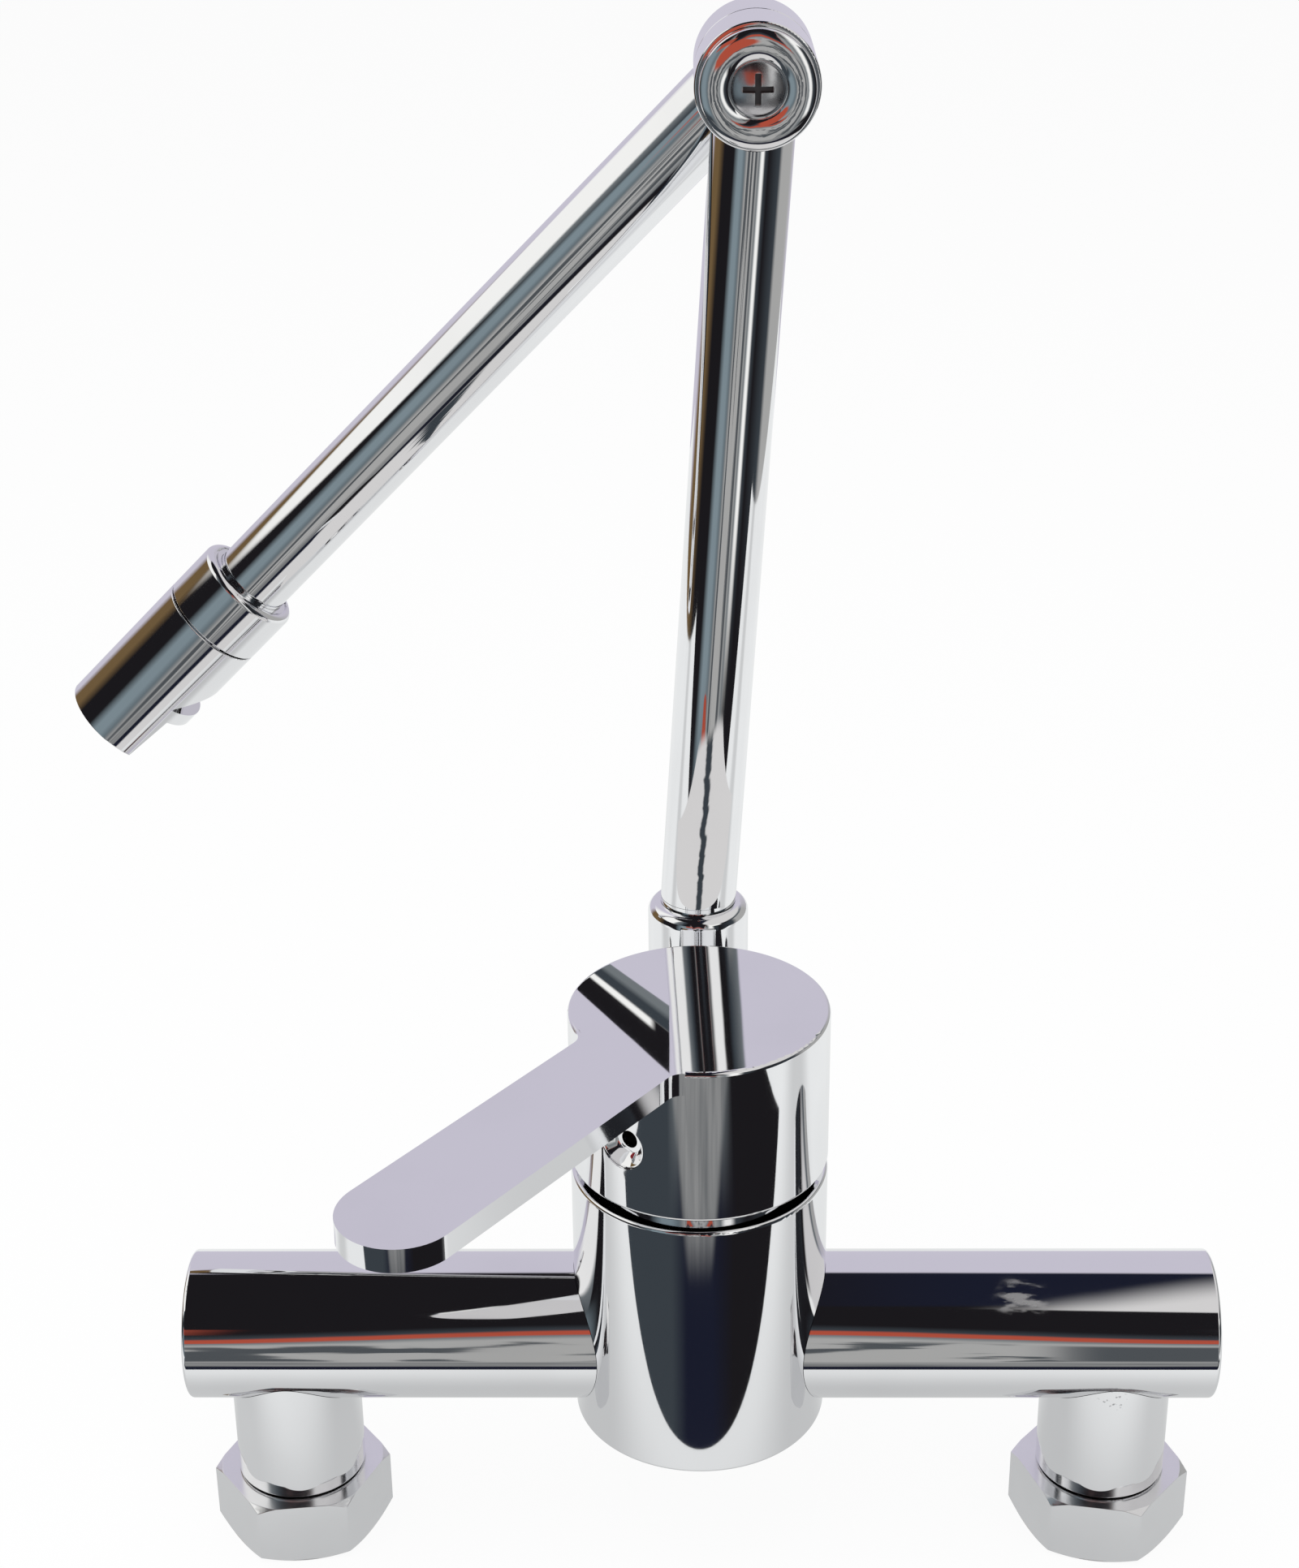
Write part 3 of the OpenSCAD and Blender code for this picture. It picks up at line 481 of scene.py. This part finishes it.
def bright_steel(finish):
    """Rolled and headed screw steel with fine marks."""
    material, g = new_material("bright_steel")
    place = g.object_place()
    marks = g.noise(place, scale=1900.0, detail=3.0)
    dull = g.step(g.noise(place, scale=350.0, detail=3.0), 0.4, 0.7)
    close_material(g, {
        "Base Color": g.blend(dull, rgba(finish.steel_colour), dimmed(finish.steel_colour, 0.75)),
        "Metallic": 1.0,
        "Roughness": 0.2 + dull * 0.15,
        "Normal": g.bump(marks, depth=0.00003, strength=0.5),
    })
    return material


# Modelling

def only(piece):
    """Makes one object the whole selection."""
    if bpy.context.mode != "OBJECT":
        bpy.ops.object.mode_set(mode="OBJECT")
    bpy.ops.object.select_all(action="DESELECT")
    piece.select_set(True)
    bpy.context.view_layer.objects.active = piece


def tidy_faces(piece):
    """Joins a piece's loose triangles and drops the edges between flat ones."""
    only(piece)
    bpy.ops.object.mode_set(mode="EDIT")
    bpy.ops.mesh.select_all(action="SELECT")
    bpy.ops.mesh.remove_doubles(threshold=MERGE_DISTANCE)
    bpy.ops.mesh.dissolve_limited(angle_limit=FLAT_ANGLE)
    bpy.ops.object.mode_set(mode="OBJECT")


def apply_modifier(piece, kind, **settings):
    only(piece)
    bpy.ops.object.modifier_add(type=kind)
    modifier = piece.modifiers[-1]
    for name, value in settings.items():
        setattr(modifier, name, value)
    bpy.ops.object.modifier_apply(modifier=modifier.name)


def smooth(piece):
    only(piece)
    bpy.ops.object.shade_smooth_by_angle(angle=SMOOTH_ANGLE)


def settle(piece):
    """Puts a piece's place into its mesh."""
    only(piece)
    bpy.ops.object.transform_apply(location=True, rotation=True, scale=True)


def eased_copy(node, name, width, segments=3, angle=35.0):
    """A copy of a CAD node with its sharp edges eased, which then stands for the node."""
    source = frame["nodes"][node]
    piece = bpy.data.objects.new(name, source.data.copy())
    bpy.context.scene.collection.objects.link(piece)
    tidy_faces(piece)
    apply_modifier(
        piece, "BEVEL", width=width, segments=segments, limit_method="ANGLE",
        angle_limit=math.radians(angle), use_clamp_overlap=True, harden_normals=False,
    )
    smooth(piece)
    apply_modifier(piece, "WEIGHTED_NORMAL", keep_sharp=True, weight=NORMAL_WEIGHT)
    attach(piece, source["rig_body"])
    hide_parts(node)
    return piece


def wear(piece, material):
    """Gives a new piece its finish."""
    piece.data.materials.clear()
    piece.data.materials.append(material)


def dress(nodes, material):
    """Gives CAD nodes their finish."""
    for name in nodes:
        for slot in frame["nodes"][name].material_slots:
            slot.material = material


# Sizes and colours that a user would change

class TapFinish(bpy.types.PropertyGroup):
    """Colours and surfaces of the tap."""

    chrome_colour: bpy.props.FloatVectorProperty(
        name="Chrome", description="Colour of the plating",
        subtype="COLOR", size=3, default=(0.87, 0.87, 0.885),
    )
    haze_colour: bpy.props.FloatVectorProperty(
        name="Haze", description="Colour of the plating under a thin haze",
        subtype="COLOR", size=3, default=(0.8, 0.8, 0.815),
    )
    chrome_roughness: bpy.props.FloatProperty(
        name="Polish", description="Roughness of the clean plating",
        subtype="FACTOR", default=0.035, min=0.0, max=1.0,
    )
    nut_roughness: bpy.props.FloatProperty(
        name="Nut finish", description="Roughness of the union nuts",
        subtype="FACTOR", default=0.14, min=0.0, max=1.0,
    )
    brass_colour: bpy.props.FloatVectorProperty(
        name="Brass", description="Colour of bare brass",
        subtype="COLOR", size=3, default=(0.68, 0.5, 0.24),
    )
    rubber_colour: bpy.props.FloatVectorProperty(
        name="Rubber", description="Colour of the seals",
        subtype="COLOR", size=3, default=(0.03, 0.03, 0.033),
    )
    plastic_colour: bpy.props.FloatVectorProperty(
        name="Plastic", description="Colour of the cartridge",
        subtype="COLOR", size=3, default=(0.72, 0.72, 0.7),
    )
    # The outlet insert is a real part; its near-black colour also stands in for the shade inside the
    # outlet, as painted shade
    insert_and_shade_colour: bpy.props.FloatVectorProperty(
        name="Insert", description="Colour of the outlet insert",
        subtype="COLOR", size=3, default=(0.02, 0.02, 0.021),
    )
    ceramic_colour: bpy.props.FloatVectorProperty(
        name="Ceramic", description="Colour of the cartridge discs",
        subtype="COLOR", size=3, default=(0.86, 0.84, 0.78),
    )
    steel_colour: bpy.props.FloatVectorProperty(
        name="Steel", description="Colour of the screws and the pin",
        subtype="COLOR", size=3, default=(0.62, 0.62, 0.64),
    )
    enamel_colour: bpy.props.FloatVectorProperty(
        name="Mark", description="Colour of the temperature mark",
        subtype="COLOR", size=3, default=(0.5, 0.03, 0.04),
    )
    edge_width: bpy.props.FloatProperty(
        name="Edge", description="Width of the eased edges",
        subtype="DISTANCE", unit="LENGTH", default=0.0004, min=0.0,
    )


class TapStage(bpy.types.PropertyGroup):
    """The studio."""

    lens: bpy.props.FloatProperty(
        name="Lens", description="Focal length of the camera in millimetres",
        default=59.283, min=10.0,
    )
    floor_size: bpy.props.FloatProperty(
        name="Floor", description="Width of the floor",
        subtype="DISTANCE", unit="LENGTH", default=6.0, min=1.0,
    )
    floor_colour: bpy.props.FloatVectorProperty(
        name="Floor colour", description="Colour of the floor",
        subtype="COLOR", size=3, default=(0.8, 0.8, 0.8),
    )
    table_colour: bpy.props.FloatVectorProperty(
        name="Table colour", description="Colour of the table in the mirrored room",
        subtype="COLOR", size=3, default=(0.93, 0.945, 0.94),
    )
    key_power: bpy.props.FloatProperty(
        name="Key light", description="Power of the large overhead light in watts",
        default=9.0, min=0.0,
    )


class TAP_OT_bodywork(bpy.types.Operator):
    """Plates the body, the bar, the socket, the tubes and the knuckle's halves"""

    bl_idname = "tap.bodywork"
    bl_label = "Bodywork"

    def execute(self, context):
        dress(CHROME_NODES, chrome(context.scene.tap_finish))
        return {"FINISHED"}


class TAP_OT_cartridge(bpy.types.Operator):
    """Finishes the pieces inside: cartridge, seals, nipples, screws and pin"""

    bl_idname = "tap.cartridge"
    bl_label = "Cartridge and seals"

    def execute(self, context):
        finish = context.scene.tap_finish
        rubber = moulded(
            "moulded_rubber", finish.rubber_colour,
            roughness=0.55, mottle=0.3, grain=2400.0, depth=0.00003,
        )
        plastic = moulded(
            "moulded_plastic", finish.plastic_colour,
            roughness=0.38, mottle=0.06, grain=1500.0, depth=0.00002,
        )
        ceramic = moulded(
            "lapped_ceramic", finish.ceramic_colour,
            roughness=0.08, mottle=0.04, grain=900.0, depth=0.00001,
        )
        dress(RUBBER_NODES, rubber)
        dress(("cartridge_base", "cartridge_housing", "disc_carrier", "stem_guide"), plastic)
        dress(("fixed_disc", "moving_disc"), ceramic)
        dress(("left_nipple", "right_nipple", "lock_ring", "stem"), turned_brass(finish))
        dress(("pivot_pin", "set_screw", "spout_lock_screw"), bright_steel(finish))
        return {"FINISHED"}


class TAP_OT_lever(bpy.types.Operator):
    """Makes the lever handle with its plug and mark"""

    bl_idname = "tap.lever"
    bl_label = "Lever handle"

    def execute(self, context):
        finish = context.scene.tap_finish
        plating = bpy.data.materials["polished_chrome"]
        wear(eased_copy("handle", "lever_handle", finish.edge_width), plating)
        plug = eased_copy("index_plug", "plug_bush", finish.edge_width / 4, segments=2)
        wear(plug, plating)
        enamel = moulded(
            "red_enamel", finish.enamel_colour,
            roughness=0.12, mottle=0.15, grain=1200.0, depth=0.00001,
        )
        dress(("index_mark",), enamel)
        return {"FINISHED"}


class TAP_OT_union_nuts(bpy.types.Operator):
    """Makes the two union nuts"""

    bl_idname = "tap.union_nuts"
    bl_label = "Union nuts"

    def execute(self, context):
        finish = context.scene.tap_finish
        satin = satin_chrome(finish)
        for side in ("left", "right"):
            nut = eased_copy(
                f"{side}_union_nut", f"{side}_hexagon_nut", finish.edge_width * 1.5,
                segments=4, angle=25.0,
            )
            wear(nut, satin)
        return {"FINISHED"}


class TAP_OT_knuckle(bpy.types.Operator):
    """Makes the cover disc and the cross-head screw of the knuckle"""

    bl_idname = "tap.knuckle"
    bl_label = "Knuckle"

    def execute(self, context):
        finish = context.scene.tap_finish
        plating = bpy.data.materials["polished_chrome"]
        wear(eased_copy("knuckle_disc", "cover_disc", finish.edge_width / 2), plating)
        screw = eased_copy("knuckle_screw", "cross_head_screw", finish.edge_width / 4, segments=2)
        wear(screw, screw_steel(finish, JOINTS["arm_fold"]["pos_m"]))
        return {"FINISHED"}


class TAP_OT_nozzle(bpy.types.Operator):
    """Makes the nozzle's collar, its turning end and the outlet insert"""

    bl_idname = "tap.nozzle"
    bl_label = "Nozzle"

    def execute(self, context):
        finish = context.scene.tap_finish
        plating = bpy.data.materials["polished_chrome"]
        for node, name in (("nozzle_collar", "nozzle_sleeve"), ("nozzle_body", "nozzle_end")):
            wear(eased_copy(node, name, finish.edge_width / 2), plating)
        # The insert's near-black is partly painted shade, standing in for the shade inside the outlet
        insert = moulded(
            "black_plastic", finish.insert_and_shade_colour,
            roughness=0.3, mottle=0.3, grain=1300.0, depth=0.00002,
        )
        dress(("aerator",), insert)
        return {"FINISHED"}


class TAP_OT_stage(bpy.types.Operator):
    """Sets the camera, the light and the floor, and the room and cards that the chrome mirrors"""

    bl_idname = "tap.stage"
    bl_label = "Studio"

    def execute(self, context):
        stage = context.scene.tap_stage
        self.camera(context.scene, stage)
        self.world(context.scene)
        self.floor(stage)
        self.surroundings()
        self.table(stage)
        self.arm_reflection_card()
        self.card_over_lever()
        self.card_over_cap()
        self.card_before_knuckle()
        self.lamps(stage)
        context.scene.view_settings.view_transform = "Standard"
        return {"FINISHED"}

    def camera(self, scene, stage):
        pitch, yaw, roll = (math.radians(a) for a in (CAMERA_PITCH, CAMERA_YAW, CAMERA_ROLL))
        level_ahead = Vector((math.sin(yaw), math.cos(yaw), 0.0))
        ahead = math.cos(pitch) * level_ahead - Vector((0.0, 0.0, math.sin(pitch)))
        level = Vector((math.cos(yaw), -math.sin(yaw), 0.0))
        rise = level.cross(ahead)
        right = math.cos(roll) * level + math.sin(roll) * rise
        up = math.cos(roll) * rise - math.sin(roll) * level
        bpy.ops.object.camera_add()
        camera = bpy.context.object
        camera.name = "photo_camera"
        turn = Matrix((right, up, -ahead)).transposed().to_4x4()
        camera.matrix_world = Matrix.Translation(Vector(CAMERA_EYE)) @ turn
        camera.data.lens = stage.lens
        camera.data.sensor_width = 36.0
        camera.data.clip_start = 0.01
        scene.camera = camera

    def world(self, scene):
        """White where it is seen or mirrored, and dimmer as light on the tap."""
        world = bpy.data.worlds.new("white_studio")
        world.use_nodes = True
        scene.world = world
        g = Graph(world.node_tree)
        seen = g.ray("Is Camera Ray") + g.ray("Is Glossy Ray") + g.ray("Is Transmission Ray")
        shade = g.blend(g.step(seen, 0.0, 0.5), rgba(AMBIENT), rgba(BACKDROP))
        light = g.add("ShaderNodeBackground", None, {"Color": shade, "Strength": 1.0})
        g.add("ShaderNodeOutputWorld", None, {"Surface": light})

    def floor(self, stage):
        """A floor that is nearly white to the camera and keeps a faint shadow."""
        bpy.ops.mesh.primitive_plane_add(size=stage.floor_size)
        floor = bpy.context.object
        floor.name = "floor"
        material, g = new_material("white_floor")
        paper = g.add("ShaderNodeBsdfDiffuse", None, {"Color": rgba(stage.floor_colour)})
        share = g.ray("Is Camera Ray") * FLOOR_WHITE_SHARE
        white = g.glow(rgba(BACKDROP))
        end_material(g, g.add("ShaderNodeMixShader", None, {0: share, 1: paper, 2: white}))
        floor.data.materials.append(material)
        floor.visible_glossy = False

    def mirrored_only(self, card):
        """Makes a card show only in what the chrome mirrors."""
        card.visible_camera = False
        card.visible_diffuse = False
        card.visible_shadow = False
        card.visible_transmission = False

    def surroundings(self):
        """A tent painted with a room, far round the tap."""
        bpy.ops.mesh.primitive_uv_sphere_add(segments=64, ring_count=32, radius=TENT_RADIUS)
        tent = bpy.context.object
        tent.name = "tent"
        material, g = new_material("tent_cloth")
        way = g.add("ShaderNodeVectorMath", {"operation": "NORMALIZE"}, {0: g.object_place()})
        end_material(g, g.glow(self.room(g, way)))
        tent.data.materials.append(material)
        self.mirrored_only(tent)

    def room(self, g, way):
        """The room's tone in a direction."""
        x, y, z = g.parts(way)
        turn = g.add("ShaderNodeMath", {"operation": "ARCTAN2"}, {0: x, 1: y}) * math.degrees(1.0)
        low, level, high, floor = (
            g.ramp(turn, ring, -180, 180) for ring in (LOW_RING, LEVEL_RING, HIGH_RING, FLOOR_RING)
        )
        room = g.blend(g.step(z, *LEVEL_FROM), low, level)
        room = g.blend(g.step(z, *HIGH_FROM), room, high)
        # The user's side, with dark blots
        front = g.step(abs(turn), *FRONT_FROM)
        sink = g.step(abs(x), *SINK_SIDES, 0.0, SINK_DEPTH)
        rise = g.step(abs(x), *RISE_SIDES, 0.0, RISE_DEPTH)
        height = z + (sink - rise) * g.step(z, *SINK_HEIGHTS)
        room = g.blend(front, room, g.ramp(height, FRONT_COLUMN, -1, 1))
        blots = g.step(g.streaks(way, BLOT_STRETCH, detail=2.0), *BLOT_EDGE) + g.step(x, *BLOT_RIGHT)
        blots = g.step(blots, 0.0, 1.0) * front * g.step(z, *BLOT_LOW) * g.step(height, *BLOT_HIGH)
        room = g.blend(blots * g.step(abs(x), *BLOT_SIDES) * BLOT_SHARE, room, rgba(SLATE))
        # The floor beyond the table, the red patch, the tongue and the ground
        room = g.blend(g.step(z, *FLOOR_BELOW) * g.step(y, *FLOOR_IN_FRONT), room, floor)
        room = g.blend(g.band(turn, *RED_TURNS) * g.band(z, *RED_HEIGHTS), room, rgba(RED))
        tongue = g.band(z, *TONGUE_HEIGHTS) * g.step(abs(turn) + z * TONGUE_SLANT, *TONGUE_TURN)
        mottled = g.blend(g.noise(way, scale=14.0, detail=3.0), rgba(SLATE), rgba(MIST))
        room = g.blend(tongue, room, mottled)
        room = g.blend(g.step(z, *GROUND_BELOW), room, rgba(PALE))
        # The ceiling and its skylight
        ceiling = g.blend(g.step(x, *CEILING_RIGHT), rgba(BLACK), rgba(NAVY))
        room = g.blend(g.step(z, *CEILING_FROM), room, ceiling)
        lean = y / z
        near_edge = g.step(lean + x * SKYLIGHT_NEAR_SLANT, *SKYLIGHT_NEAR)
        far_edge = g.step(x * SKYLIGHT_FAR_SLANT - lean, *SKYLIGHT_FAR)
        skylight = near_edge * far_edge * g.step(x, *SKYLIGHT_LEFT) * g.step(z, *SKYLIGHT_LOW)
        return g.blend(skylight, room, rgba(PALE))

    def card(self, name, material, middle, size, turn=(0.0, 0.0, 0.0)):
        bpy.ops.mesh.primitive_plane_add(size=1.0, location=middle, rotation=turn)
        card = bpy.context.object
        card.name = name
        card.scale = (*size, 1.0)
        settle(card)
        card.data.materials.append(material)
        self.mirrored_only(card)

    def level_card(self, name, material, left, right, front, back, height):
        """A card that lies level and faces up."""
        middle = ((left + right) / 2, (front + back) / 2, height)
        self.card(name, material, middle, (right - left, back - front))

    def upright_card(self, name, material, left, right, back, low, high):
        """A card that stands upright and faces the user."""
        middle = ((left + right) / 2, back, (low + high) / 2)
        self.card(name, material, middle, (right - left, high - low), (math.pi / 2, 0.0, 0.0))

    def table(self, stage):
        """The white table that the chrome mirrors, which ends just in front of the tap."""
        material, g = new_material("table_paper")
        place = g.object_place()
        x, y, _ = g.parts(place)
        cloud = g.noise(place, scale=9.0, detail=3.0)
        paper = g.blend(cloud * 0.5, rgba(stage.table_colour), dimmed(stage.table_colour, 0.86))
        light = g.step(abs(y), *SHADOW_DEPTH) * 0.3 + g.step(abs(x), *SHADOW_WIDTH) * 0.1 + 0.6
        end_material(g, g.glow(g.blend(light, rgba(SHADOW_COLOUR), paper)))
        for name, left, right, front, back in TABLE_SHEETS:
            self.level_card(name, material, left, right, front, back, TABLE_HEIGHT)

    def arm_reflection_card(self):
        """A painted reflection of the arm: a dark strip leaning behind the cap, with a bright line
        along it; clear from behind.
        """
        material, g = new_material("painted_arm_reflection")
        x, _, z = g.parts(g.object_place())
        low_slope, low_height = STRIP_LOW_EDGE
        high_slope, high_height = STRIP_HIGH_EDGE
        over = z - (x * low_slope + low_height)
        under = x * high_slope + high_height - z
        share = over / (over + under)
        dark_end = g.step(x, *STRIP_DARK_END) * g.step(share, *STRIP_DARK_SHARE)
        # Painted reflection of the arm with its bright line, going black towards its right end
        tone = g.blend(dark_end, g.ramp(share, ARM_REFLECTION_TONES, 0, 1), rgba(BLACK))
        inside = g.step(over, 0.0, STRIP_SOFT) * g.step(under, 0.0, STRIP_SOFT)
        close_card(g, tone, inside * g.front_face())
        self.upright_card(
            "arm_reflection_card", material, left=-0.027, right=-0.0054, back=0.026, low=0.112, high=0.142
        )

    def card_over_lever(self):
        """A paper card that hides the arm from the lever's end; clear from behind."""
        material, g = new_material("one_sided_paper")
        close_card(g, rgba(PAPER), g.front_face())
        self.upright_card(
            "card_over_lever", material, left=-0.075, right=-0.022, back=-0.04, low=0.1104, high=0.145
        )

    def card_over_cap(self):
        """A pale card with a wavy dark line, which the riser's foot mirrors; clear from below."""
        material, g = new_material("one_sided_pale")
        place = g.object_place()
        x, y, _ = g.parts(place)
        bearing = x / (BEARING_FROM - y)
        wave = (g.streaks(place, WAVE_STRETCH, detail=3.0) - 0.5) * 0.5
        line = g.step(abs(bearing + wave), *WAVE_LINE)
        ragged = g.step(abs(bearing), *RAGGED_SIDES, 0.0, RAGGED_DEPTH)
        shown = g.step(y - ragged, *RAGGED_FRONT) * g.front_face()
        close_card(g, g.blend(line, rgba(PALE), rgba(SLATE)), shown)
        self.level_card(
            "card_over_cap", material, left=-0.05, right=0.05, front=-0.059, back=0.031, height=0.1106
        )

    def card_before_knuckle(self):
        """A small red card that the cover disc mirrors on one side."""
        material, g = new_material("red_card")
        spot = g.near(g.object_place(), SPOT_PLACE, SPOT_RADIUS)
        close_card(g, rgba(RED), g.step(spot, *SPOT_EDGE))
        self.upright_card(
            "card_before_knuckle", material,
            left=-0.006, right=0.013, back=0.005, low=0.2575, high=0.2765,
        )

    def lamps(self, stage):
        """A large lamp overhead and a weaker one in front and to the right."""
        for name, power, size, place, angles in (
            ("overhead", stage.key_power, 1.2, (-0.25, -0.2, 1.1), (10.0, -12.0, 0.0)),
            ("front_fill", stage.key_power * 0.35, 0.9, (0.5, -0.9, 0.6), (58.0, 0.0, 28.0)),
        ):
            turn = [math.radians(angle) for angle in angles]
            bpy.ops.object.light_add(type="AREA", location=place, rotation=turn)
            lamp = bpy.context.object
            lamp.name = name
            lamp.data.energy = power
            lamp.data.size = size
            lamp.visible_glossy = False


class TAP_PT_panel(bpy.types.Panel):
    """The tap's pieces, finishes and studio"""

    bl_label = "Folding tap"
    bl_idname = "TAP_PT_panel"
    bl_space_type = "VIEW_3D"
    bl_region_type = "UI"
    bl_category = "Tap"

    def draw(self, context):
        for operator in OPERATORS:
            self.layout.operator(operator.bl_idname)
        for group in (context.scene.tap_finish, context.scene.tap_stage):
            box = self.layout.box()
            for name in group.__annotations__:
                box.prop(group, name)


OPERATORS = (
    TAP_OT_bodywork, TAP_OT_cartridge, TAP_OT_lever, TAP_OT_union_nuts,
    TAP_OT_knuckle, TAP_OT_nozzle, TAP_OT_stage,
)
CLASSES = (TapFinish, TapStage, *OPERATORS, TAP_PT_panel)


def register():
    for item in CLASSES:
        bpy.utils.register_class(item)
    bpy.types.Scene.tap_finish = bpy.props.PointerProperty(type=TapFinish)
    bpy.types.Scene.tap_stage = bpy.props.PointerProperty(type=TapStage)


def unregister():
    del bpy.types.Scene.tap_stage
    del bpy.types.Scene.tap_finish
    for item in reversed(CLASSES):
        bpy.utils.unregister_class(item)


def main():
    register()
    bpy.ops.tap.bodywork()
    bpy.ops.tap.cartridge()
    bpy.ops.tap.lever()
    bpy.ops.tap.union_nuts()
    bpy.ops.tap.knuckle()
    bpy.ops.tap.nozzle()
    bpy.ops.tap.stage()


if __name__ == "__main__":
    main()
